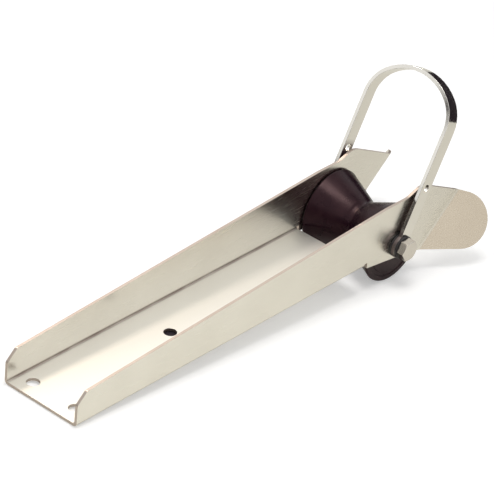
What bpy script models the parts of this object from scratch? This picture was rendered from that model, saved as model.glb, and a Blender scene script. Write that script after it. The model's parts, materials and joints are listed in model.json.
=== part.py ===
"""Bow roller for a small boat: a folded stainless channel with bent-out lips, a rubber roller and a bail.

Metres. +X points to the bow, +Y to port, +Z up. The origin is on the channel's underside, midway
between the fixing holes.
"""
import math

import bmesh
import bpy
from mathutils import Matrix, Vector

MM = 0.001

# Fits: the gap kept between pieces that seat on each other or turn in each other
SEAT_GAP = 0.3 * MM

# Channel: one folded sheet
CHANNEL_WIDTH = 60 * MM
SHEET = 2.0 * MM
FOLD_INNER_RADIUS = 1.0 * MM
FLOOR_LENGTH = 260 * MM
WALL_HEIGHT_AFT = 22.6 * MM
WALL_HEIGHT_BOW = 37.2 * MM
AFT_CORNER_LENGTH = 7.5 * MM
AFT_CORNER_FOOT = 15.5 * MM
AFT_CORNER_ROUNDING = 2 * MM
FLOOR_RELIEF = 2.5 * MM

# Fixing holes: two aft and one amidships
HOLE_DIAMETER = 8.5 * MM
HOLE_SPACING_ALONG = 100 * MM
HOLE_SPACING_ACROSS = 35 * MM
AFT_HOLE_MARGIN = 11.5 * MM

# Cheeks, measured from the axle, as they are cut: flat, with a round nose
AXLE_HEIGHT = 5 * MM
CHEEK_VALLEY_BACK = 14 * MM
CHEEK_STEP_AHEAD = 6 * MM
CHEEK_SHOULDER_AHEAD = 20 * MM
CHEEK_SHOULDER_RISE = 36.8 * MM
CHEEK_SHOULDER_RADIUS = 12 * MM
CHEEK_VALLEY_RADIUS = 24 * MM
CHEEK_NOSE_RADIUS = 19 * MM
CHEEK_NOSE_AHEAD = 58.5 * MM
CHEEK_NOSE_DROP = 3.2 * MM
CHEEK_KEEL_AHEAD = 13 * MM
CHEEK_KEEL_DROP = 11.8 * MM
CHEEK_KEEL_RADIUS = 60 * MM

# Lips: the lower front of each cheek is bent outwards along a slanting line
LIP_AHEAD = 37.8 * MM
LIP_LINE_SLOPE = math.radians(41.7)
LIP_ANGLE = math.radians(35)
LIP_BEND_RADIUS = 4 * MM

# Roller
ROLLER_RADIUS = 27.5 * MM
ROLLER_WAIST_RADIUS = 15 * MM
ROLLER_RIM_WIDTH = 1.6 * MM
ROLLER_RIM_ROUNDING = 1.2 * MM
ROLLER_GROOVE_RADIUS = 9 * MM
ROLLER_FLOOR_GAP = 4 * MM
ROLLER_END_GAP = 0.5 * MM
BUSH_WALL = 2 * MM
BUSH_LENGTH = 20 * MM
THRUST_WASHER_DIAMETER = 22 * MM
THRUST_WASHER_THICKNESS = 1.2 * MM

# Axle: an M8 bolt through a spacer sleeve
BOLT_DIAMETER = 8 * MM
BOLT_HEAD_WIDTH = 13 * MM
BOLT_HEAD_HEIGHT = 5.3 * MM
BOLT_HEAD_CHAMFER = 0.25 * MM
BOLT_END_BEYOND_NUT = 2 * MM
BOLT_END_CHAMFER = 0.8 * MM
SLEEVE_WALL = 1.7 * MM
NUT_HEIGHT = 6.2 * MM
NUT_COLLAR_HEIGHT = 1.8 * MM
NUT_RING_THICKNESS = 1.4 * MM
NUT_COLLAR_WALL = 0.9 * MM
NUT_COLLAR_SETBACK = 0.5 * MM
WASHER_DIAMETER = 16 * MM
WASHER_THICKNESS = 1.2 * MM

# Bail: a flat strip bent to a hoop
BAIL_THICKNESS = 2.5 * MM
BAIL_STRIP_WIDTH = 10 * MM
BAIL_LEG_LENGTH = 80 * MM
BAIL_SHOULDER_RADIUS = 26 * MM
BAIL_SHOULDER_TURN = math.radians(49)
BAIL_LEAN = math.radians(26.2)
BAIL_EYE_RADIUS = 8 * MM
BAIL_PIN_HOLE_DIAMETER = 5 * MM
BAIL_PIN_HOLE_DISTANCE = 41 * MM

# Facets
ROLLER_STEPS = 48
ROUND_STEPS = 40
SMALL_ROUND_STEPS = 32
PIN_HOLE_STEPS = 20
EYE_STEPS = 20
ARCH_STEPS = 6
RIM_STEPS = 3
GROOVE_STEPS = 4
FOLD_STEPS = 5
LIP_STEPS = 6
ARC_STEP = math.radians(10)
CUT_MARGIN = 10 * MM
MERGE = 0.00001

# Worked out from the sizes above
HALF_WIDTH = CHANNEL_WIDTH / 2
HALF_INSIDE = HALF_WIDTH - SHEET
FOLD_OUTER_RADIUS = FOLD_INNER_RADIUS + SHEET
AFT_X = -HOLE_SPACING_ALONG / 2 - AFT_HOLE_MARGIN
FLOOR_FRONT_X = AFT_X + FLOOR_LENGTH
AXLE_X = FLOOR_FRONT_X + ROLLER_FLOOR_GAP + ROLLER_RADIUS
AXLE = Vector((AXLE_X, 0, AXLE_HEIGHT))
BOLT_RADIUS = BOLT_DIAMETER / 2
BOLT_HOLE_RADIUS = BOLT_RADIUS + SEAT_GAP
SLEEVE_RADIUS = BOLT_HOLE_RADIUS + SLEEVE_WALL
SLEEVE_HALF_LENGTH = HALF_INSIDE - SEAT_GAP
BUSH_INNER_RADIUS = SLEEVE_RADIUS + SEAT_GAP
BUSH_OUTER_RADIUS = BUSH_INNER_RADIUS + BUSH_WALL
ROLLER_BORE_RADIUS = BUSH_OUTER_RADIUS + SEAT_GAP
ROLLER_HALF_LENGTH = HALF_INSIDE - ROLLER_END_GAP
THRUST_WASHER_INSIDE = HALF_INSIDE - SEAT_GAP - THRUST_WASHER_THICKNESS
ROLLER_RECESS_FLOOR = THRUST_WASHER_INSIDE - SEAT_GAP
BAIL_INSIDE = HALF_WIDTH + WASHER_THICKNESS + 2 * SEAT_GAP
BAIL_OUTSIDE = BAIL_INSIDE + BAIL_THICKNESS
OUTER_WASHER_INSIDE = BAIL_OUTSIDE + SEAT_GAP
CLAMP_FACE = OUTER_WASHER_INSIDE + WASHER_THICKNESS + SEAT_GAP
NUT_TOTAL_HEIGHT = NUT_HEIGHT + NUT_COLLAR_HEIGHT
BOLT_END = CLAMP_FACE + NUT_TOTAL_HEIGHT + BOLT_END_BEYOND_NUT

SIDES = (("port", 1), ("starboard", -1))

STEEL = ("stainless_steel", (0.70, 0.68, 0.62), 0.35, 1.0)
RUBBER = ("black_rubber", (0.02, 0.018, 0.02), 0.5, 0.0)
NYLON = ("white_nylon", (0.80, 0.79, 0.75), 0.45, 0.0)
BLACK_NYLON = ("black_nylon", (0.02, 0.02, 0.022), 0.45, 0.0)


def clear_scene():
    for old in list(bpy.data.objects):
        bpy.data.objects.remove(old, do_unlink=True)


def new_collection(name):
    collection = bpy.data.collections.new(name)
    bpy.context.scene.collection.children.link(collection)
    return collection


def make_material(name, finish):
    _, color, roughness, metallic = finish
    material = bpy.data.materials.new(name)
    material.use_nodes = True
    shader = material.node_tree.nodes["Principled BSDF"]
    shader.inputs["Base Color"].default_value = (*color, 1)
    shader.inputs["Roughness"].default_value = roughness
    shader.inputs["Metallic"].default_value = metallic
    return material


def add_mesh(name, mesh, collection, finish=None):
    obj = bpy.data.objects.new(name, mesh)
    collection.objects.link(obj)
    if finish:
        mesh.materials.append(make_material(f"{name}_{finish[0]}", finish))
    else:
        obj.hide_render = True
        obj.display_type = "WIRE"
    return obj


def add_boolean(obj, operation, cutter):
    modifier = obj.modifiers.new(f"{operation.lower()}_{cutter.name}", "BOOLEAN")
    modifier.operation = operation
    modifier.object = cutter
    modifier.solver = "EXACT"


def shade(obj, angle=math.radians(30)):
    obj.data.shade_smooth()
    obj.data.set_sharp_from_angle(angle=angle)


def rounded_outline(corners):
    """Points round a closed outline whose corners (x, z, radius) are rounded with arcs."""
    points = []
    for index, (x, z, radius) in enumerate(corners):
        corner = Vector((x, z))
        before = Vector(corners[index - 1][:2]) - corner
        after = Vector(corners[(index + 1) % len(corners)][:2]) - corner
        opening = before.angle(after)
        turn = math.pi - opening
        if radius == 0 or turn < ARC_STEP / 4:
            points.append(corner)
            continue
        reach = min(radius * math.tan(turn / 2), 0.49 * before.length, 0.49 * after.length)
        fitted = reach / math.tan(turn / 2)
        inward = (before.normalized() + after.normalized()).normalized()
        centre = corner + inward * fitted / math.sin(opening / 2)
        start = corner + before.normalized() * reach - centre
        steps = max(2, math.ceil(turn / ARC_STEP))
        side = 1 if before.cross(after) < 0 else -1
        for step in range(steps + 1):
            arc = side * turn * step / steps
            points.append(centre + Matrix.Rotation(arc, 2) @ start)
    return points


def add_side_prism(name, points, half_length, collection):
    """A closed outline in X and Z, extruded to both sides along Y."""
    bm = bmesh.new()
    face = bm.faces.new([bm.verts.new((p.x, -half_length, p.y)) for p in points])
    grown = bmesh.ops.extrude_face_region(bm, geom=[face])
    moved = [item for item in grown["geom"] if isinstance(item, bmesh.types.BMVert)]
    bmesh.ops.translate(bm, verts=moved, vec=(0, 2 * half_length, 0))
    bmesh.ops.recalc_face_normals(bm, faces=bm.faces)
    mesh = bpy.data.meshes.new(name)
    bm.to_mesh(mesh)
    bm.free()
    return add_mesh(name, mesh, collection)


def add_round_cutter(name, radius, length, matrix, collection, steps=SMALL_ROUND_STEPS):
    bm = bmesh.new()
    bmesh.ops.create_cone(bm, cap_ends=True, segments=steps, radius1=radius, radius2=radius, depth=length,
                          matrix=matrix)
    mesh = bpy.data.meshes.new(name)
    bm.to_mesh(mesh)
    bm.free()
    return add_mesh(name, mesh, collection)


def along_y(x, y, z):
    """Turns +Z to +Y and moves to a point: the place of a round piece that lies across the boat."""
    return Matrix.Translation((x, y, z)) @ Matrix.Rotation(-math.pi / 2, 4, "X")


def add_turned(name, profile, collection, finish, steps=ROUND_STEPS):
    """A closed profile of (radius, across) turned round the axle; it runs down its outer side."""
    bm = bmesh.new()
    ring = [bm.verts.new((radius, 0, across)) for radius, across in profile]
    for index, vertex in enumerate(ring):
        bm.edges.new((vertex, ring[(index + 1) % len(ring)]))
    mesh = bpy.data.meshes.new(name)
    bm.to_mesh(mesh)
    bm.free()
    obj = add_mesh(name, mesh, collection, finish)
    screw = obj.modifiers.new("turn", "SCREW")
    screw.axis = "Z"
    screw.angle = 2 * math.pi
    screw.steps = steps
    screw.render_steps = steps
    screw.use_merge_vertices = True
    screw.merge_threshold = MERGE
    screw.use_smooth_shade = True
    obj.matrix_world = along_y(*AXLE)
    return obj


def tube_profile(inner, outer, low, high):
    return [(outer, high), (outer, low), (inner, low), (inner, high)]


def side_outline():
    """The channel seen from the side, from the aft lower corner round by the nose and back along the top."""
    relief_x = FLOOR_FRONT_X + FLOOR_RELIEF / 2
    keel = (AXLE_X + CHEEK_KEEL_AHEAD, AXLE_HEIGHT - CHEEK_KEEL_DROP)
    shoulder = (AXLE_X + CHEEK_SHOULDER_AHEAD, AXLE_HEIGHT + CHEEK_SHOULDER_RISE)
    return rounded_outline([
        (AFT_X, -CUT_MARGIN, 0),
        (relief_x, -CUT_MARGIN, 0),
        (relief_x, -SHEET / 2, 0),
        (*keel, CHEEK_KEEL_RADIUS),
        *nose_arc(keel, shoulder),
        (*shoulder, CHEEK_SHOULDER_RADIUS),
        (AXLE_X + CHEEK_STEP_AHEAD, WALL_HEIGHT_BOW, CHEEK_SHOULDER_RADIUS),
        (AXLE_X - CHEEK_VALLEY_BACK, WALL_HEIGHT_BOW, CHEEK_VALLEY_RADIUS),
        (AFT_X + AFT_CORNER_LENGTH, WALL_HEIGHT_AFT, AFT_CORNER_ROUNDING),
        (AFT_X, AFT_CORNER_FOOT, AFT_CORNER_ROUNDING),
    ])


def nose_arc(keel, shoulder):
    """The round nose, between the points where lines from the keel and from the shoulder touch it."""
    centre = Vector((AXLE_X + CHEEK_NOSE_AHEAD, AXLE_HEIGHT - CHEEK_NOSE_DROP))

    def touch(corner, side):
        away = Vector(corner) - centre
        return math.atan2(away.y, away.x) + side * math.acos(CHEEK_NOSE_RADIUS / away.length)

    first = touch(keel, 1)
    last = touch(shoulder, -1)
    steps = math.ceil((last - first) / ARC_STEP)
    angles = [first + (last - first) * step / steps for step in range(steps + 1)]
    return [(centre.x + CHEEK_NOSE_RADIUS * math.cos(a), centre.y + CHEEK_NOSE_RADIUS * math.sin(a), 0)
            for a in angles]


def bend_lips(channel):
    """Bends the cheeks outwards ahead of the slanting line; the sheet's middle keeps its length."""
    flat = bpy.data.meshes.new_from_object(channel.evaluated_get(bpy.context.evaluated_depsgraph_get()))
    channel.modifiers.clear()
    start = Vector((AXLE_X + LIP_AHEAD, 0, AXLE_HEIGHT))
    ahead = Vector((math.sin(LIP_LINE_SLOPE), 0, -math.cos(LIP_LINE_SLOPE)))
    middle_radius = LIP_BEND_RADIUS + SHEET / 2
    arc_length = middle_radius * LIP_ANGLE

    bm = bmesh.new()
    bm.from_mesh(flat)
    bmesh.ops.triangulate(bm, faces=bm.faces)
    for step in range(LIP_STEPS + 1):
        bmesh.ops.bisect_plane(bm, geom=bm.verts[:] + bm.edges[:] + bm.faces[:], dist=MERGE,
                               plane_co=start + ahead * arc_length * step / LIP_STEPS, plane_no=ahead)
    for vertex in bm.verts:
        depth = (vertex.co - start).dot(ahead)
        if depth <= 0:
            continue
        side = math.copysign(1, vertex.co.y)
        bend = min(depth / middle_radius, LIP_ANGLE)
        rest = max(depth - arc_length, 0)
        radius = LIP_BEND_RADIUS + HALF_WIDTH - abs(vertex.co.y)
        out = HALF_WIDTH + LIP_BEND_RADIUS - radius * math.cos(bend) + rest * math.sin(bend)
        vertex.co += ahead * (radius * math.sin(bend) + rest * math.cos(bend) - depth)
        vertex.co.y = side * out
    bm.to_mesh(flat)
    bm.free()
    flat.materials.clear()
    flat.materials.append(channel.data.materials[0])
    channel.data = flat


def build_channel(parts, cutters):
    """The outer face of the port half is laid from floor to cheek, then mirrored and thickened."""
    top = AXLE_HEIGHT + CHEEK_SHOULDER_RISE + CUT_MARGIN
    bottom = AXLE_HEIGHT - CHEEK_NOSE_DROP - CHEEK_NOSE_RADIUS - CUT_MARGIN
    fold_centre = HALF_WIDTH - FOLD_OUTER_RADIUS
    aft_station = AFT_X - CUT_MARGIN
    nose_end = AXLE_X + CHEEK_NOSE_AHEAD + CHEEK_NOSE_RADIUS + CUT_MARGIN

    bm = bmesh.new()

    def column(x, heights):
        return [bm.verts.new((x, HALF_WIDTH, z)) for z in heights]

    def skin(first, second):
        for low in range(len(first) - 1):
            bm.faces.new((first[low], second[low], second[low + 1], first[low + 1]))

    wall_heights = (FOLD_OUTER_RADIUS, top)
    cheek_heights = (bottom, FOLD_OUTER_RADIUS, top)
    aft_wall = column(aft_station, wall_heights)
    front_wall = column(FLOOR_FRONT_X, wall_heights)
    cheek_root = column(FLOOR_FRONT_X + FLOOR_RELIEF, cheek_heights)
    skin(aft_wall, front_wall)
    skin(front_wall, cheek_root[1:])
    skin(cheek_root, column(nose_end, cheek_heights))

    def floor_row(x):
        row = [bm.verts.new((x, 0, 0))]
        for step in range(FOLD_STEPS):
            a = math.pi / 2 * step / FOLD_STEPS
            row.append(bm.verts.new((x, fold_centre + FOLD_OUTER_RADIUS * math.sin(a),
                                     FOLD_OUTER_RADIUS * (1 - math.cos(a)))))
        return row

    skin(floor_row(aft_station) + [aft_wall[0]], floor_row(FLOOR_FRONT_X) + [front_wall[0]])
    bmesh.ops.reverse_faces(bm, faces=bm.faces)
    mesh = bpy.data.meshes.new("channel")
    bm.to_mesh(mesh)
    bm.free()

    channel = add_mesh("channel", mesh, parts, STEEL)
    mirror = channel.modifiers.new("mirror", "MIRROR")
    mirror.use_axis = (False, True, False)
    mirror.merge_threshold = MERGE
    solidify = channel.modifiers.new("thickness", "SOLIDIFY")
    solidify.thickness = SHEET
    solidify.offset = -1
    solidify.use_even_offset = True

    reach = HALF_WIDTH + CUT_MARGIN
    outline = add_side_prism("channel_outline", side_outline(), reach, cutters)
    add_boolean(channel, "INTERSECT", outline)

    floor_holes = [(-HOLE_SPACING_ALONG / 2, HOLE_SPACING_ACROSS / 2),
                   (-HOLE_SPACING_ALONG / 2, -HOLE_SPACING_ACROSS / 2),
                   (HOLE_SPACING_ALONG / 2, 0)]
    for number, (x, y) in enumerate(floor_holes, 1):
        place = Matrix.Translation((x, y, 0))
        hole = add_round_cutter(f"fixing_hole_{number}", HOLE_DIAMETER / 2, CUT_MARGIN, place, cutters)
        add_boolean(channel, "DIFFERENCE", hole)
    axle_hole = add_round_cutter("axle_hole", BOLT_HOLE_RADIUS, 2 * reach, along_y(*AXLE), cutters)
    add_boolean(channel, "DIFFERENCE", axle_hole)
    bend_lips(channel)
    return channel


def roller_profile():
    """Half outline from the port rim to the groove, mirrored to starboard, and back along the bore."""
    rim_start = ROLLER_HALF_LENGTH - ROLLER_RIM_WIDTH
    slope = (ROLLER_RADIUS - ROLLER_WAIST_RADIUS) / rim_start
    tilt = math.atan(slope)
    rounding = ROLLER_RIM_ROUNDING
    half = []
    for step in range(RIM_STEPS + 1):
        a = math.pi / 2 * step / RIM_STEPS
        half.append((ROLLER_RADIUS - rounding * (1 - math.sin(a)),
                     ROLLER_HALF_LENGTH - rounding * (1 - math.cos(a))))
    half.append((ROLLER_RADIUS, rim_start))
    groove_lift = ROLLER_GROOVE_RADIUS * (1 / math.cos(tilt) - 1)
    for step in range(GROOVE_STEPS):
        a = tilt * (1 - step / GROOVE_STEPS)
        half.append((ROLLER_WAIST_RADIUS + groove_lift + ROLLER_GROOVE_RADIUS * (1 - math.cos(a)),
                     ROLLER_GROOVE_RADIUS * math.sin(a)))
    waist = [(ROLLER_WAIST_RADIUS + groove_lift, 0)]
    other = [(radius, -across) for radius, across in reversed(half)]
    recess = THRUST_WASHER_DIAMETER / 2 + SEAT_GAP
    port_end = [(ROLLER_BORE_RADIUS, ROLLER_RECESS_FLOOR), (recess, ROLLER_RECESS_FLOOR),
                (recess, ROLLER_HALF_LENGTH)]
    starboard_end = [(radius, -across) for radius, across in reversed(port_end)]
    return half + waist + other + starboard_end + port_end


def build_roller(parts):
    add_turned("roller", roller_profile(), parts, RUBBER, steps=ROLLER_STEPS)
    for side, sign in SIDES:
        ends = sorted((sign * ROLLER_RECESS_FLOOR, sign * (ROLLER_RECESS_FLOOR - BUSH_LENGTH)))
        profile = tube_profile(BUSH_INNER_RADIUS, BUSH_OUTER_RADIUS, *ends)
        add_turned(f"roller_bush_{side}", profile, parts, NYLON, SMALL_ROUND_STEPS)


def add_washer(name, inner, outer, inside, thickness, sign, parts, finish):
    """A flat ring whose inner face is at the given distance from the middle plane."""
    ends = sorted((sign * inside, sign * (inside + thickness)))
    return add_turned(name, tube_profile(inner, outer, *ends), parts, finish, SMALL_ROUND_STEPS)


def hexagon_prism(name, width, low, high, collection):
    """A hexagonal bar across the boat, with two corners up and down."""
    bm = bmesh.new()
    radius = width / 2 / math.cos(math.pi / 6)
    place = along_y(AXLE_X, (low + high) / 2, AXLE_HEIGHT) @ Matrix.Rotation(math.pi / 6, 4, "Z")
    bmesh.ops.create_cone(bm, cap_ends=True, segments=6, radius1=radius, radius2=radius, depth=high - low,
                          matrix=place)
    mesh = bpy.data.meshes.new(name)
    bm.to_mesh(mesh)
    bm.free()
    return add_mesh(name, mesh, collection)


def build_axle(parts, cutters):
    """The bolt's head is turned with a chamfered outer edge and cut to a hexagon; so is the nut."""
    head_radius = BOLT_HEAD_WIDTH / 2 / math.cos(math.pi / 6)
    chamfer = head_radius - BOLT_HEAD_WIDTH / 2
    head_out = -CLAMP_FACE - BOLT_HEAD_HEIGHT

    bolt = add_turned("axle_bolt", [
        (BOLT_RADIUS - BOLT_END_CHAMFER, BOLT_END), (BOLT_RADIUS, BOLT_END - BOLT_END_CHAMFER),
        (BOLT_RADIUS, -CLAMP_FACE), (head_radius + chamfer, -CLAMP_FACE),
        (head_radius + chamfer, head_out + chamfer), (BOLT_HEAD_WIDTH / 2 - BOLT_HEAD_CHAMFER, head_out),
        (0, head_out), (0, BOLT_END)], parts, STEEL, SMALL_ROUND_STEPS)
    bolt_cut = hexagon_prism("bolt_hexagon", BOLT_HEAD_WIDTH, head_out - CUT_MARGIN, BOLT_END + CUT_MARGIN,
                             cutters)
    add_boolean(bolt, "INTERSECT", bolt_cut)

    nut_out = CLAMP_FACE + NUT_HEIGHT
    collar_out = nut_out + NUT_COLLAR_HEIGHT
    collar_radius = BOLT_HEAD_WIDTH / 2 - NUT_COLLAR_SETBACK
    ring_pocket = collar_radius - NUT_COLLAR_WALL
    nut = add_turned("lock_nut", [
        (collar_radius, collar_out), (collar_radius, nut_out), (BOLT_HEAD_WIDTH / 2, nut_out),
        (head_radius + chamfer, nut_out - chamfer), (head_radius + chamfer, CLAMP_FACE),
        (BOLT_HOLE_RADIUS, CLAMP_FACE), (BOLT_HOLE_RADIUS, nut_out), (ring_pocket, nut_out),
        (ring_pocket, collar_out)], parts, STEEL, SMALL_ROUND_STEPS)
    nut_cut = hexagon_prism("nut_hexagon", BOLT_HEAD_WIDTH, CLAMP_FACE - CUT_MARGIN, collar_out + CUT_MARGIN,
                            cutters)
    add_boolean(nut, "INTERSECT", nut_cut)
    ring_low = nut_out + SEAT_GAP
    ring = tube_profile(BOLT_HOLE_RADIUS, ring_pocket - SEAT_GAP, ring_low,
                        ring_low + NUT_RING_THICKNESS)
    add_turned("lock_nut_ring", ring, parts, NYLON, SMALL_ROUND_STEPS)

    add_turned("axle_sleeve",
               tube_profile(BOLT_HOLE_RADIUS, SLEEVE_RADIUS, -SLEEVE_HALF_LENGTH, SLEEVE_HALF_LENGTH),
               parts, STEEL, SMALL_ROUND_STEPS)

    for side, sign in SIDES:
        add_washer(f"thrust_washer_{side}", BUSH_INNER_RADIUS, THRUST_WASHER_DIAMETER / 2,
                   THRUST_WASHER_INSIDE, THRUST_WASHER_THICKNESS, sign, parts, BLACK_NYLON)
        add_washer(f"pivot_washer_{side}", BOLT_HOLE_RADIUS, WASHER_DIAMETER / 2,
                   HALF_WIDTH + SEAT_GAP, WASHER_THICKNESS, sign, parts, BLACK_NYLON)
        add_washer(f"outer_washer_{side}", BOLT_HOLE_RADIUS, WASHER_DIAMETER / 2,
                   OUTER_WASHER_INSIDE, WASHER_THICKNESS, sign, parts, BLACK_NYLON)


def arch_points(inset, foot):
    """Two legs, two tight shoulder arcs and a wider crown arc, as (across, along the legs), port foot first.

    The line runs the inset inside the bail's outer face, all the way round."""
    shoulder = Vector((BAIL_OUTSIDE - BAIL_SHOULDER_RADIUS, BAIL_LEG_LENGTH))
    centre_gap = shoulder.x / math.cos(BAIL_SHOULDER_TURN)
    crown = Vector((0, BAIL_LEG_LENGTH - centre_gap * math.sin(BAIL_SHOULDER_TURN)))
    half = [Vector((BAIL_OUTSIDE - inset, foot))]
    for centre, radius, start, end in (
            (shoulder, BAIL_SHOULDER_RADIUS - inset, 0, BAIL_SHOULDER_TURN),
            (crown, BAIL_SHOULDER_RADIUS + centre_gap - inset, BAIL_SHOULDER_TURN, math.pi / 2)):
        for step in range(ARCH_STEPS + (end == math.pi / 2)):
            a = start + (end - start) * step / ARCH_STEPS
            half.append(centre + radius * Vector((math.cos(a), math.sin(a))))
    return half + [Vector((-p.x, p.y)) for p in reversed(half[:-1])]


def build_bail(parts, cutters):
    """The hoop's front view is extruded, then cut by its side view: a strip with a round eye at the foot."""
    foot = -BAIL_EYE_RADIUS - CUT_MARGIN
    outline = arch_points(0, foot) + arch_points(BAIL_THICKNESS, foot)[::-1]
    half_depth = BAIL_EYE_RADIUS + CUT_MARGIN
    bm = bmesh.new()
    face = bm.faces.new([bm.verts.new((-half_depth, across, along)) for across, along in outline])
    grown = bmesh.ops.extrude_face_region(bm, geom=[face])
    moved = [item for item in grown["geom"] if isinstance(item, bmesh.types.BMVert)]
    bmesh.ops.translate(bm, verts=moved, vec=(2 * half_depth, 0, 0))
    bmesh.ops.recalc_face_normals(bm, faces=bm.faces)
    mesh = bpy.data.meshes.new("bail")
    bm.to_mesh(mesh)
    bm.free()
    bail = add_mesh("bail", mesh, parts, STEEL)

    half_strip = BAIL_STRIP_WIDTH / 2
    eye_side = math.asin(half_strip / BAIL_EYE_RADIUS)
    strip = [Vector((-half_strip, BAIL_LEG_LENGTH + BAIL_OUTSIDE + CUT_MARGIN))]
    for step in range(EYE_STEPS + 1):
        a = eye_side + 2 * (math.pi - eye_side) * step / EYE_STEPS
        strip.append(Vector((-BAIL_EYE_RADIUS * math.sin(a), BAIL_EYE_RADIUS * math.cos(a))))
    strip.append(Vector((half_strip, BAIL_LEG_LENGTH + BAIL_OUTSIDE + CUT_MARGIN)))
    side_view = add_side_prism("bail_side_view", strip, BAIL_OUTSIDE + CUT_MARGIN, cutters)
    add_boolean(bail, "INTERSECT", side_view)

    length = 2 * (BAIL_OUTSIDE + CUT_MARGIN)
    eye_hole = add_round_cutter("bail_eye_hole", BOLT_HOLE_RADIUS, length, along_y(0, 0, 0), cutters)
    pin_hole = add_round_cutter("bail_pin_hole", BAIL_PIN_HOLE_DIAMETER / 2, length,
                                along_y(0, 0, BAIL_PIN_HOLE_DISTANCE), cutters, PIN_HOLE_STEPS)
    add_boolean(bail, "DIFFERENCE", eye_hole)
    add_boolean(bail, "DIFFERENCE", pin_hole)

    for obj in (bail, side_view, eye_hole, pin_hole):
        obj.matrix_world = Matrix.Translation(AXLE) @ Matrix.Rotation(BAIL_LEAN, 4, "Y")
    return bail


def build():
    clear_scene()
    parts = new_collection("bow_roller")
    cutters = new_collection("cutters")
    build_channel(parts, cutters)
    build_roller(parts)
    build_axle(parts, cutters)
    build_bail(parts, cutters)
    for obj in parts.objects:
        shade(obj)


build()
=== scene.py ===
"""Looks of the bow roller: satin stainless sheet, a black rubber roller on a bolt, and a hooped bail."""
import json
import math

import bmesh
import bpy
from mathutils import Matrix, Vector
from mathutils.bvhtree import BVHTree


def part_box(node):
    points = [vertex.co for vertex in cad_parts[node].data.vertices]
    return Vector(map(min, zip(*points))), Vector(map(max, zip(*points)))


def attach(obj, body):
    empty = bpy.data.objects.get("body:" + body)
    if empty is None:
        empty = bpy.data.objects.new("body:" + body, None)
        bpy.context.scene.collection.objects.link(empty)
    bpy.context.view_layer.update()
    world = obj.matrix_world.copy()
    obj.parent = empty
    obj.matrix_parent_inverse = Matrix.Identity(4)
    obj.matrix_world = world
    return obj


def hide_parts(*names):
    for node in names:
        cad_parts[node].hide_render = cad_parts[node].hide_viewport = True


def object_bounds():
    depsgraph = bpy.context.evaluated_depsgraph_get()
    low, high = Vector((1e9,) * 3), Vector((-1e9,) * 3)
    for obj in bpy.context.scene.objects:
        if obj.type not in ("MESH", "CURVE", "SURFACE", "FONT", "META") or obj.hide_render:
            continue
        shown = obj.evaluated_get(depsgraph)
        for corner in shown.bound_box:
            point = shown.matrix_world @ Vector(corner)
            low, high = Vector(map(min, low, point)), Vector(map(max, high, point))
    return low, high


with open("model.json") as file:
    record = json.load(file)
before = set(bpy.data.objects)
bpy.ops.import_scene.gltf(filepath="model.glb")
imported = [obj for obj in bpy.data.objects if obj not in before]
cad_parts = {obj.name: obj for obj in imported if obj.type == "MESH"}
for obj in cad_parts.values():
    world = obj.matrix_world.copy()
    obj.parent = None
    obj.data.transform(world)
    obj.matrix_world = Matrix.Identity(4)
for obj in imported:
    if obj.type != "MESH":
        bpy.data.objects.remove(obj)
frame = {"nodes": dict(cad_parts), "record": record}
cad_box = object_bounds()

# Camera, floor and studio
# The fitting lies under soft light on pale paper. A long lens looks down on it from the starboard quarter,
# turned a little because the fitting rested on its roller.
azimuth, elevation, roll = (math.radians(angle) for angle in (-50.91, 32.581, 5.699))
back = Vector((math.sin(azimuth) * math.cos(elevation), -math.cos(azimuth) * math.cos(elevation),
               math.sin(elevation)))
level_right = Vector((math.cos(azimuth), math.sin(azimuth), 0))
level_up = back.cross(level_right)
camera_right = level_right * math.cos(roll) + level_up * math.sin(roll)
camera_up = level_up * math.cos(roll) - level_right * math.sin(roll)
looked_at = Vector((0.1086, 0, 0.015))
shift_right, shift_up, distance = 0.006506, 0.020269, 1.989504
camera_place = looked_at + camera_right * shift_right + camera_up * shift_up + back * distance

camera = bpy.data.objects.new("camera", bpy.data.cameras.new("camera"))
camera.data.lens = 234.1
camera.data.sensor_width = 36
camera.data.clip_end = 50
camera.matrix_world = Matrix.Translation(camera_place) @ Matrix(
    (camera_right, camera_up, back)).transposed().to_4x4()
bpy.context.scene.collection.objects.link(camera)
bpy.context.scene.camera = camera
bpy.context.scene.view_settings.view_transform = "Standard"


def soft_light(name, place, target, width, depth, watts, color):
    lamp = bpy.data.lights.new(name, "AREA")
    lamp.shape = "RECTANGLE"
    lamp.size = width
    lamp.size_y = depth
    lamp.energy = watts
    lamp.color = color
    holder = bpy.data.objects.new(name, lamp)
    place = Vector(place)
    aim = (Vector(target) - place).to_track_quat("-Z", "Y")
    holder.matrix_world = Matrix.Translation(place) @ aim.to_matrix().to_4x4()
    bpy.context.scene.collection.objects.link(holder)
    return holder


soft_light("overhead_softbox", place=(0.12, -0.05, 1.2), target=(0.12, -0.01, 0), width=0.45, depth=0.45,
           watts=5.5, color=(1.0, 0.985, 0.96))
# A small lamp to port, seen by reflections only, gives the roller's waist its bright spot.
spot = soft_light("port_lamp", place=(0.21, 0.62, 1.0), target=(0.22, 0, 0), width=0.2, depth=0.2,
                  watts=5.0, color=(1.0, 0.85, 0.70))
spot.visible_diffuse = False


def steps(tree, first, *operations):
    """A chain of Math nodes: each operation takes the last result and one number or socket."""
    for operation, second in operations:
        node = tree.nodes.new("ShaderNodeMath")
        node.operation = operation
        tree.links.new(first, node.inputs[0])
        if isinstance(second, float):
            node.inputs[1].default_value = second
        elif second is not None:
            tree.links.new(second, node.inputs[1])
        first = node.outputs[0]
    return first


def tint(tree, source, first, second):
    mix = tree.nodes.new("ShaderNodeMix")
    mix.data_type = "RGBA"
    mix.inputs["A"].default_value = (*first, 1)
    mix.inputs["B"].default_value = (*second, 1)
    tree.links.new(source, mix.inputs["Factor"])
    return mix.outputs["Result"]


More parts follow.
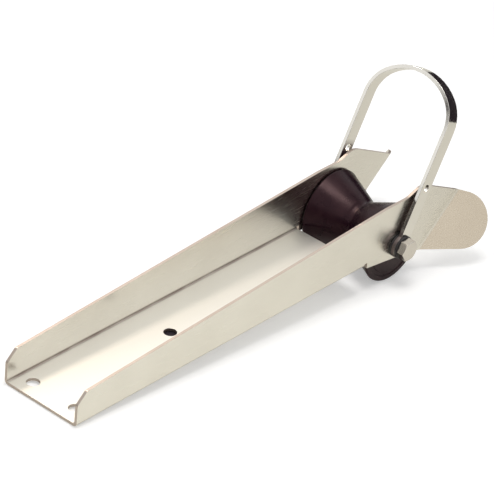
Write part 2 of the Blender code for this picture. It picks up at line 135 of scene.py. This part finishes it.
def position(tree):
    """The X, Y and Z sockets of a point, on Object coordinates."""
    place = tree.nodes.new("ShaderNodeTexCoord")
    parts = tree.nodes.new("ShaderNodeSeparateXYZ")
    tree.links.new(place.outputs["Object"], parts.inputs[0])
    return parts.outputs


studio = bpy.data.worlds.new("studio")
studio.use_nodes = True
bpy.context.scene.world = studio
sky = studio.node_tree
rays = sky.nodes.new("ShaderNodeLightPath").outputs
seen = steps(sky, rays["Is Camera Ray"], ("ADD", rays["Is Glossy Ray"]), ("ADD", rays["Is Transmission Ray"]),
             ("MINIMUM", 1.0))
room_light = (0.62, 0.62, 0.61)
seen_white = (1, 1, 1)
sky.links.new(tint(sky, seen, room_light, seen_white), sky.nodes["Background"].inputs["Color"])

# The paper is white to the camera. Metal shows it a little warmer, and duller towards the bow, where less
# light falls on it.
paper = bpy.data.materials.new("pale_paper")
paper.use_nodes = True
tree = paper.node_tree
shader = tree.nodes["Principled BSDF"]
shader.inputs["Roughness"].default_value = 0.9
shader.inputs["Specular IOR Level"].default_value = 0.1
shader.inputs["Emission Color"].default_value = (1, 1, 1, 1)
rays = tree.nodes.new("ShaderNodeLightPath").outputs
fade_start, fade_length = 0.12, 0.24
warm_aft, dull_ahead = (0.86, 0.85, 0.79), (0.68, 0.66, 0.60)
forward = steps(tree, position(tree)["X"], ("SUBTRACT", fade_start), ("DIVIDE", fade_length),
                ("MAXIMUM", 0.0), ("MINIMUM", 1.0))
tone = tree.nodes.new("ShaderNodeMix")
tone.data_type = "RGBA"
tree.links.new(tint(tree, forward, warm_aft, dull_ahead), tone.inputs["A"])
tone.inputs["B"].default_value = (0.80, 0.80, 0.81, 1)
tree.links.new(rays["Is Camera Ray"], tone.inputs["Factor"])
tree.links.new(tone.outputs["Result"], shader.inputs["Base Color"])
glow_to_camera, glow_to_steel = 0.34, 0.13
on_camera = steps(tree, rays["Is Camera Ray"], ("MULTIPLY", glow_to_camera))
lift = steps(tree, rays["Is Glossy Ray"], ("MULTIPLY", glow_to_steel), ("ADD", on_camera))
tree.links.new(lift, shader.inputs["Emission Strength"])


def staged(name, corners, material):
    """A flat sheet of the studio, not part of the fitting."""
    bm = bmesh.new()
    bm.faces.new([bm.verts.new(corner) for corner in corners])
    mesh = bpy.data.meshes.new(name)
    bm.to_mesh(mesh)
    bm.free()
    mesh.materials.append(material)
    sheet = bpy.data.objects.new(name, mesh)
    bpy.context.scene.collection.objects.link(sheet)
    return sheet


# The fitting stands on its roller and on its aft edge, so it lies on the paper at a slant.
aft_edge = Vector((cad_box[0][0], 0))
roller_low, roller_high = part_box("roller")
roller_centre = Vector(((roller_low.x + roller_high.x) / 2, (roller_low.z + roller_high.z) / 2))
to_roller = roller_centre - aft_edge
stands_on = (roller_high.z - roller_low.z) / 2
slant = math.asin(stands_on / to_roller.length) - math.atan2(to_roller.y, to_roller.x)
square = ((-1, -1), (1, -1), (1, 1), (-1, 1))
floor_reach = 4
paper_gap = 0.0004
floor_corners = [(x * floor_reach, y * floor_reach) for x, y in square]
staged("floor", [(x, y, (aft_edge.x - x) * math.tan(slant) - paper_gap) for x, y in floor_corners], paper)

# A small dark card closes the middle hole from below. It is painted shade, standing in for the deep shade
# under the channel, so no paper shows through the hole.
shade_and_board_dark = bpy.data.materials.new("shade_and_board_dark")
shade_and_board_dark.use_nodes = True
shader = shade_and_board_dark.node_tree.nodes["Principled BSDF"]
shader.inputs["Base Color"].default_value = (0.012, 0.006, 0.014, 1)
shader.inputs["Roughness"].default_value = 0.9
hole_place, card_reach, card_drop = 0.050, 0.006, 0.0006
staged("shade_card_under_hole", [(hole_place + x * card_reach, y * card_reach, -card_drop) for x, y in square],
       shade_and_board_dark)

# Dark boards stand outside the picture, ahead and astern, and a warm one to starboard. Only reflections see
# them. The bow board darkens the bail's near shoulder, and the aft ones its edges and the roller's foot.
warm_board = bpy.data.materials.new("warm_board")
warm_board.use_nodes = True
shader = warm_board.node_tree.nodes["Principled BSDF"]
shader.inputs["Base Color"].default_value = (0, 0, 0, 1)
shader.inputs["Specular IOR Level"].default_value = 0
shader.inputs["Emission Color"].default_value = (0.76, 0.68, 0.58, 1)
shader.inputs["Emission Strength"].default_value = 1
board_side, board_length, board_height = -0.6, 0.6, 0.4
corners = [(0, board_side, 0), (board_length, board_side, 0), (board_length, board_side, board_height),
           (0, board_side, board_height)]
boards = [staged("starboard_board", corners, warm_board)]
for name, x, right, left, low, high in (("bow_board", 0.57, -0.8, 0.16, -0.012, 0.16),
                                        ("aft_board", -0.42, -0.9, 0.25, 0.03, 0.30),
                                        ("low_aft_board", -0.42, 0.25, 0.52, 0.03, 0.215),
                                        ("high_aft_board", -0.42, 0.33, 0.403, 0.296, 0.50)):
    corners = [(x, right, low), (x, left, low), (x, left, high), (x, right, high)]
    boards.append(staged(name, corners, shade_and_board_dark))
for sheet in boards:
    sheet.visible_camera = False
    sheet.visible_diffuse = False
    sheet.visible_transmission = False
    sheet.visible_shadow = False

# Channel
# One sheet of 2 mm stainless steel, cut and drilled flat, folded up along both sides, with the lower front
# of each cheek bent outwards. It has a satin finish, and its edges are lightly broken with a file.


def keep_flats(piece):
    """Smooth shading that leaves the large faces flat and puts the turn into the narrow ones."""
    piece.data.shade_smooth()
    piece.data.set_sharp_from_angle(angle=math.radians(40))
    weights = piece.modifiers.new("flat_faces", "WEIGHTED_NORMAL")
    weights.mode = "FACE_AREA"
    weights.weight = 80
    weights.keep_sharp = True
    shaded = bpy.data.meshes.new_from_object(piece.evaluated_get(bpy.context.evaluated_depsgraph_get()))
    piece.modifiers.clear()
    piece.data = shaded


def filed_copy(node, break_width, thickness=0.0):
    """A merged copy of a CAD piece with its sharp edges rounded by a small width.

    On a piece of sheet or strip, the faces where it was cut go into the second material slot: a ray sent into
    the steel from such a face runs along the sheet, so it goes further than the thickness.
    """
    merge_distance, ray_start, cut_share = 0.000002, 0.00001, 1.3
    flat_angle, sharp_angle = math.radians(0.6), math.radians(32)
    bm = bmesh.new()
    bm.from_mesh(frame["nodes"][node].data)
    bmesh.ops.remove_doubles(bm, verts=bm.verts, dist=merge_distance)
    for face in bm.faces:
        face.material_index = 0
    if thickness:
        walls = BVHTree.FromBMesh(bm)
        for face in bm.faces:
            reach = walls.ray_cast(face.calc_center_median() - face.normal * ray_start, -face.normal)[3]
            face.material_index = 1 if reach is None or reach > cut_share * thickness else 0
    bmesh.ops.dissolve_limit(bm, angle_limit=flat_angle, verts=bm.verts, edges=bm.edges, delimit={"MATERIAL"})
    mesh = bpy.data.meshes.new(f"{node}_finished")
    bm.to_mesh(mesh)
    bm.free()
    for _ in range(2 if thickness else 1):
        mesh.materials.append(None)
    piece = bpy.data.objects.new(f"{node}_finished", mesh)
    bpy.context.scene.collection.objects.link(piece)
    bevel = piece.modifiers.new("filed_edges", "BEVEL")
    bevel.width = break_width
    bevel.segments = 3
    bevel.limit_method = "ANGLE"
    bevel.angle_limit = sharp_angle
    bevel.use_clamp_overlap = True
    filed = bpy.data.meshes.new_from_object(piece.evaluated_get(bpy.context.evaluated_depsgraph_get()))
    piece.modifiers.clear()
    piece.data = filed
    keep_flats(piece)
    return piece


def dress(piece, node, *materials):
    """Gives a new piece its materials and puts it in the place of its CAD node."""
    slots = piece.data.materials
    for number, material in enumerate(materials):
        if number < len(slots):
            slots[number] = material
        else:
            slots.append(material)
    body = next(name for name, nodes in frame["record"]["behaviour"]["bodies"].items() if node in nodes)
    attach(piece, body)
    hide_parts(node)


def grain(tree, scale, stretch, detail=3.0):
    """Noise on Object coordinates, drawn out by the stretch along each axis."""
    place = tree.nodes.new("ShaderNodeTexCoord")
    mapping = tree.nodes.new("ShaderNodeMapping")
    mapping.inputs["Scale"].default_value = stretch
    noise = tree.nodes.new("ShaderNodeTexNoise")
    noise.inputs["Scale"].default_value = scale
    noise.inputs["Detail"].default_value = detail
    tree.links.new(place.outputs["Object"], mapping.inputs["Vector"])
    tree.links.new(mapping.outputs["Vector"], noise.inputs["Vector"])
    return noise.outputs["Fac"]


def spread(tree, source, low, high, start=0.3, end=0.7):
    """Maps a 0 to 1 pattern onto a range of values."""
    ramp = tree.nodes.new("ShaderNodeMapRange")
    ramp.inputs["From Min"].default_value = start
    ramp.inputs["From Max"].default_value = end
    ramp.inputs["To Min"].default_value = low
    ramp.inputs["To Max"].default_value = high
    tree.links.new(source, ramp.inputs["Value"])
    return ramp.outputs["Result"]


def relief(tree, source, distance, strength):
    bump = tree.nodes.new("ShaderNodeBump")
    bump.inputs["Distance"].default_value = distance
    bump.inputs["Strength"].default_value = strength
    tree.links.new(source, bump.inputs["Height"])
    return bump.outputs["Normal"]


def satin_steel(name, light, dark, roughness, brushed):
    """Stainless steel with a faint cloudiness and fine brush lines."""
    material = bpy.data.materials.new(name)
    material.use_nodes = True
    tree = material.node_tree
    shader = tree.nodes["Principled BSDF"]
    shader.inputs["Metallic"].default_value = 1.0
    cloud_scale, line_scale = 28, 60
    clouds = spread(tree, grain(tree, cloud_scale, (1, 1, 1), 4.0), 0, 1)
    lines = grain(tree, line_scale, brushed)
    tree.links.new(tint(tree, clouds, light, dark), shader.inputs["Base Color"])
    tree.links.new(spread(tree, lines, roughness - 0.02, roughness + 0.03), shader.inputs["Roughness"])
    tree.links.new(relief(tree, lines, 0.00001, 0.2), shader.inputs["Normal"])
    return material


def overlaid(tree, mask, color, roughness):
    """Lays another colour and roughness over what a material already has, where the mask is 1."""
    shader = tree.nodes["Principled BSDF"]
    under = shader.inputs["Base Color"].links[0].from_socket
    coat = tree.nodes.new("ShaderNodeMix")
    coat.data_type = "RGBA"
    coat.inputs["B"].default_value = (*color, 1)
    tree.links.new(under, coat.inputs["A"])
    tree.links.new(mask, coat.inputs["Factor"])
    tree.links.new(coat.outputs["Result"], shader.inputs["Base Color"])
    under = shader.inputs["Roughness"].links[0].from_socket
    rough = tree.nodes.new("ShaderNodeMix")
    rough.inputs["B"].default_value = roughness
    tree.links.new(under, rough.inputs["A"])
    tree.links.new(mask, rough.inputs["Factor"])
    tree.links.new(rough.outputs["Result"], shader.inputs["Roughness"])


sheet_thickness = 0.002
channel_steel = satin_steel("channel_satin_steel", (0.80, 0.772, 0.705), (0.745, 0.715, 0.648), 0.25,
                            (0.6, 40, 40))

# The two inner folds are painted darker along the lines where the walls leave the floor: painted shade in the
# creases.
fold_across = 0.028
fold_shade_core, fold_shade_reach = 0.0008, 0.0019
tree = channel_steel.node_tree
place = position(tree)
sideways = steps(tree, place["Y"], ("ABSOLUTE", None), ("SUBTRACT", fold_across), ("POWER", 2.0))
upwards = steps(tree, place["Z"], ("SUBTRACT", sheet_thickness), ("POWER", 2.0))
from_fold = steps(tree, sideways, ("ADD", upwards), ("SQRT", None))
patchy = spread(tree, grain(tree, 40, (1, 1, 1)), 0.55, 1.0)
shaded_fold = steps(tree, spread(tree, from_fold, 1, 0, fold_shade_core, fold_shade_reach), ("MULTIPLY", patchy))
# The dark brown laid over the folds here is painted shade.
overlaid(tree, shaded_fold, (0.22, 0.17, 0.15), 0.5)

# The chain has scuffed the floor between the walls to a paler, duller finish.
scuffs_fade, scuffs_end = 0.0262, 0.0274
below_face, on_face = 0.0010, 0.0016
between_walls = spread(tree, steps(tree, place["Y"], ("ABSOLUTE", None)), 1, 0, scuffs_fade, scuffs_end)
scuffed = steps(tree, spread(tree, place["Z"], 0, 1, below_face, on_face), ("MULTIPLY", between_walls))
overlaid(tree, scuffed, (0.83, 0.815, 0.76), 0.42)

cut_steel = satin_steel("cut_edge_steel", (0.52, 0.45, 0.40), (0.45, 0.38, 0.33), 0.42, (8, 8, 8))
dress(filed_copy("channel", 0.00025, sheet_thickness), "channel", channel_steel, cut_steel)

# Roller
# Moulded in black rubber with a V for the rode and a thick rim at each end. Its ends have a recess for the
# thrust washer and a shallow moulded ring, and its faces have the dull bloom of rubber that has been stored.
axle = Vector((0.230, 0, 0.005))
rim_radius = 0.0275
rim_start = 0.0259
half_length = 0.0275
waist_radius = 0.0160
groove_end = (0.0179, 0.0039)
rim_rounding = 0.0012
ring_outer_radius = 0.0238
ring_inner_radius = 0.0210
ring_slope = 0.0002
ring_depth = 0.0004
recess_radius = 0.0113
recess_floor = 0.0262
bore_radius = 0.0086


def arc_points(centre, radius, start, end, count):
    """Points (radius, across) on an arc in the profile plane, from one angle to another in degrees."""
    angles = [math.radians(start + (end - start) * number / count) for number in range(count + 1)]
    return [(centre[0] + radius * math.cos(a), centre[1] + radius * math.sin(a)) for a in angles]


def turned(name, profile, count):
    """A closed profile of (radius, across) turned about the axle, with its faces outwards."""
    bm = bmesh.new()
    rings = []
    for number in range(count):
        a = 2 * math.pi * number / count
        rings.append([bm.verts.new(axle + Vector((r * math.sin(a), across, r * math.cos(a))))
                      for r, across in profile])
    for first, second in zip(rings, rings[1:] + rings[:1]):
        for low in range(len(profile)):
            high = (low + 1) % len(profile)
            bm.faces.new((first[low], first[high], second[high], second[low]))
    bmesh.ops.remove_doubles(bm, verts=bm.verts, dist=0.0000005)
    bmesh.ops.recalc_face_normals(bm, faces=bm.faces)
    mesh = bpy.data.meshes.new(name)
    bm.to_mesh(mesh)
    bm.free()
    piece = bpy.data.objects.new(name, mesh)
    bpy.context.scene.collection.objects.link(piece)
    keep_flats(piece)
    return piece


def roller_half():
    """The port half's outer line, from the groove out to the recess."""
    # The bottom of the V is rounded, and so is the step from the cone onto the rim.
    points = [(waist_radius, 0.0), (waist_radius + 0.00022, 0.0013), (waist_radius + 0.00092, 0.0027),
              groove_end]
    cone_rise = rim_radius - groove_end[0]
    cone_length = rim_start - groove_end[1]
    for share in (0.33, 0.66):
        points.append((groove_end[0] + cone_rise * share, groove_end[1] + cone_length * share))
    points += [(rim_radius - 0.0005, rim_start - 0.0007), (rim_radius, rim_start + 0.0001)]
    points += arc_points((rim_radius - rim_rounding, half_length - rim_rounding), rim_rounding, 10, 90, 5)
    points += [(ring_outer_radius, half_length), (ring_outer_radius - ring_slope, half_length - ring_depth),
               (ring_inner_radius + ring_slope, half_length - ring_depth), (ring_inner_radius, half_length),
               (recess_radius + ring_depth, half_length), (recess_radius, half_length - ring_depth),
               (recess_radius, recess_floor)]
    return points


port_line = roller_half()
starboard_line = [(r, -across) for r, across in reversed(port_line[1:])]
bore_line = [(bore_radius, recess_floor), (bore_radius, -recess_floor)]
roller = turned("roller_finished", port_line + bore_line + starboard_line, 96)

rubber = bpy.data.materials.new("black_rubber")
rubber.use_nodes = True
tree = rubber.node_tree
shader = tree.nodes["Principled BSDF"]
bloom = spread(tree, grain(tree, 90, (1, 1, 1), 6.0), 0, 1, 0.45, 0.72)
shader.inputs["Specular IOR Level"].default_value = 0.27
shader.inputs["Specular Tint"].default_value = (1, 0.66, 0.66, 1)
tree.links.new(tint(tree, bloom, (0.010, 0.002, 0.006), (0.020, 0.007, 0.011)), shader.inputs["Base Color"])
tree.links.new(spread(tree, bloom, 0.27, 0.36, 0, 1), shader.inputs["Roughness"])
tree.links.new(relief(tree, grain(tree, 1400, (1, 1, 1), 2.0), 0.00006, 0.35), shader.inputs["Normal"])
dress(roller, "roller", rubber)

# Roller bushes
# Two turned nylon tubes pressed into the roller's bore from its ends. Off-white and slightly waxy.


def nylon(name, color):
    material = bpy.data.materials.new(name)
    material.use_nodes = True
    tree = material.node_tree
    shader = tree.nodes["Principled BSDF"]
    shader.inputs["Subsurface Weight"].default_value = 0.1
    shader.inputs["Subsurface Radius"].default_value = (0.002, 0.0018, 0.0014)
    shade = tuple(value * 0.93 for value in color)
    tree.links.new(tint(tree, spread(tree, grain(tree, 60, (1, 1, 1)), 0, 1), color, shade),
                   shader.inputs["Base Color"])
    tree.links.new(spread(tree, grain(tree, 500, (1, 1, 1)), 0.36, 0.5), shader.inputs["Roughness"])
    return material


bush_nylon = nylon("bush_nylon", (0.78, 0.76, 0.70))
for side in ("port", "starboard"):
    dress(filed_copy(f"roller_bush_{side}", 0.0002), f"roller_bush_{side}", bush_nylon)

# Axle sleeve
# A cut length of stainless tube that keeps the cheeks apart. The bushes turn on its polished outside.
sleeve_steel = satin_steel("sleeve_polished_steel", (0.74, 0.73, 0.70), (0.68, 0.67, 0.65), 0.22, (12, 1, 12))
dress(filed_copy("axle_sleeve", 0.0002), "axle_sleeve", sleeve_steel)

# Washers
# Punched discs of black nylon. The thrust washers keep the rubber off the cheeks, and the bail's legs are
# clamped between a pivot washer and an outer one, so the bail turns stiffly and doesn't scratch the steel.
washer_nylon = nylon("washer_nylon", (0.022, 0.019, 0.022))
for side in ("port", "starboard"):
    for kind in ("thrust", "pivot", "outer"):
        dress(filed_copy(f"{kind}_washer_{side}", 0.00015), f"{kind}_washer_{side}", washer_nylon)

# Bolt
# A stainless hexagon bolt, M8. Its head has a chamfered top, and its thread is rolled, so the crests are
# rounded. It goes in from starboard and comes out through the nut.
bolt_radius = 0.004
bolt_end = 0.0461
thread_start = 0.0310
thread_pitch = 0.00125
thread_depth = 0.00070
end_chamfer = 0.0008
run_in = 2 * thread_pitch
crest_rounding = 0.8
around = 48
rows_a_turn = 8

bolt = filed_copy("axle_bolt", 0.0002)
bm = bmesh.new()
bm.from_mesh(bolt.data)
plain_end = [v for v in bm.verts if v.co.y > thread_start - 0.001]
bmesh.ops.delete(bm, geom=plain_end, context="VERTS")
rows = math.ceil((bolt_end - thread_start) / (thread_pitch / rows_a_turn))
rings = []
for row in range(rows + 1):
    across = thread_start + (bolt_end - thread_start) * row / rows
    from_end = (bolt_end - across) / end_chamfer
    cut_share = min(1, (across - thread_start) / run_in) * min(1, from_end + 0.2)
    ring = []
    for number in range(around):
        a = 2 * math.pi * number / around
        phase = across / thread_pitch - number / around
        depth = thread_depth * (0.5 - 0.5 * math.cos(2 * math.pi * phase)) ** crest_rounding
        radius = bolt_radius - depth * max(cut_share, 0) - end_chamfer * max(0, 1 - from_end)
        ring.append(bm.verts.new(axle + Vector((radius * math.sin(a), across, radius * math.cos(a)))))
    rings.append(ring)
for first, second in zip(rings, rings[1:]):
    for number in range(around):
        after = (number + 1) % around
        bm.faces.new((first[number], second[number], second[after], first[after]))
bm.faces.new(rings[-1])
bm.faces.new(rings[0])
bmesh.ops.holes_fill(bm, edges=[e for e in bm.edges if e.is_boundary])
bmesh.ops.recalc_face_normals(bm, faces=bm.faces)
bm.to_mesh(bolt.data)
bm.free()
keep_flats(bolt)
bolt_steel = satin_steel("bolt_steel", (0.72, 0.68, 0.62), (0.64, 0.60, 0.55), 0.22, (3, 3, 3))
dress(bolt, "axle_bolt", bolt_steel)

# Lock nut
# A stainless self-locking nut. Its collar is rolled over a nylon ring that grips the bolt's thread.
nut_steel = satin_steel("nut_steel", (0.74, 0.72, 0.67), (0.66, 0.64, 0.60), 0.26, (3, 3, 3))
dress(filed_copy("lock_nut", 0.00025), "lock_nut", nut_steel)
dress(filed_copy("lock_nut_ring", 0.0002), "lock_nut_ring", nylon("ring_nylon", (0.80, 0.79, 0.75)))

# Bail
# Flat stainless strip of 10 by 2.5 mm, bent to a hoop and drilled for the bolt and for a keeper pin. Its feet
# are rounded and its edges are rolled smooth, because the chain and fingers run over them.
strip_thickness = 0.0025
strip_light, strip_dark = (0.80, 0.775, 0.715), (0.76, 0.735, 0.68)
bail_steel = satin_steel("bail_polished_steel", strip_light, strip_dark, 0.10, (2, 2, 2))
edge_steel = satin_steel("bail_edge_steel", strip_light, strip_dark, 0.08, (2, 2, 2))


def out_from_axle(tree):
    """Distance from the axle's centre line, on Object coordinates."""
    place = position(tree)
    ahead = steps(tree, place["X"], ("SUBTRACT", axle.x), ("POWER", 2.0))
    above = steps(tree, place["Z"], ("SUBTRACT", axle.z), ("POWER", 2.0))
    return steps(tree, ahead, ("ADD", above), ("SQRT", None))


# The legs' inner faces are painted darker in the narrow gaps beside the cheeks: painted shade between the
# parts.
gap_shade_solid, gap_shade_end = 0.038, 0.047
tree = bail_steel.node_tree
leg_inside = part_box("bail")[1].y - strip_thickness
inner_face = spread(tree, steps(tree, position(tree)["Y"], ("ABSOLUTE", None)), 1, 0,
                    leg_inside + 0.0002, leg_inside + 0.0006)
beside_cheek = spread(tree, out_from_axle(tree), 1, 0, gap_shade_solid, gap_shade_end)
# Painted shade: a near-black laid over the inner faces beside the cheeks.
overlaid(tree, steps(tree, inner_face, ("MULTIPLY", beside_cheek)), (0.07, 0.035, 0.045), 0.5)

# The edges of the feet are painted darker too, round the clamped washers: painted shade where the parts crowd
# together.
foot_shade_solid, foot_shade_end = 0.010, 0.015
tree = edge_steel.node_tree
round_foot = spread(tree, out_from_axle(tree), 0.9, 0, foot_shade_solid, foot_shade_end)
# Painted shade: a dark coat on the feet's edges near the axle.
overlaid(tree, round_foot, (0.10, 0.07, 0.075), 0.5)
dress(filed_copy("bail", 0.0003, strip_thickness), "bail", bail_steel, edge_steel)
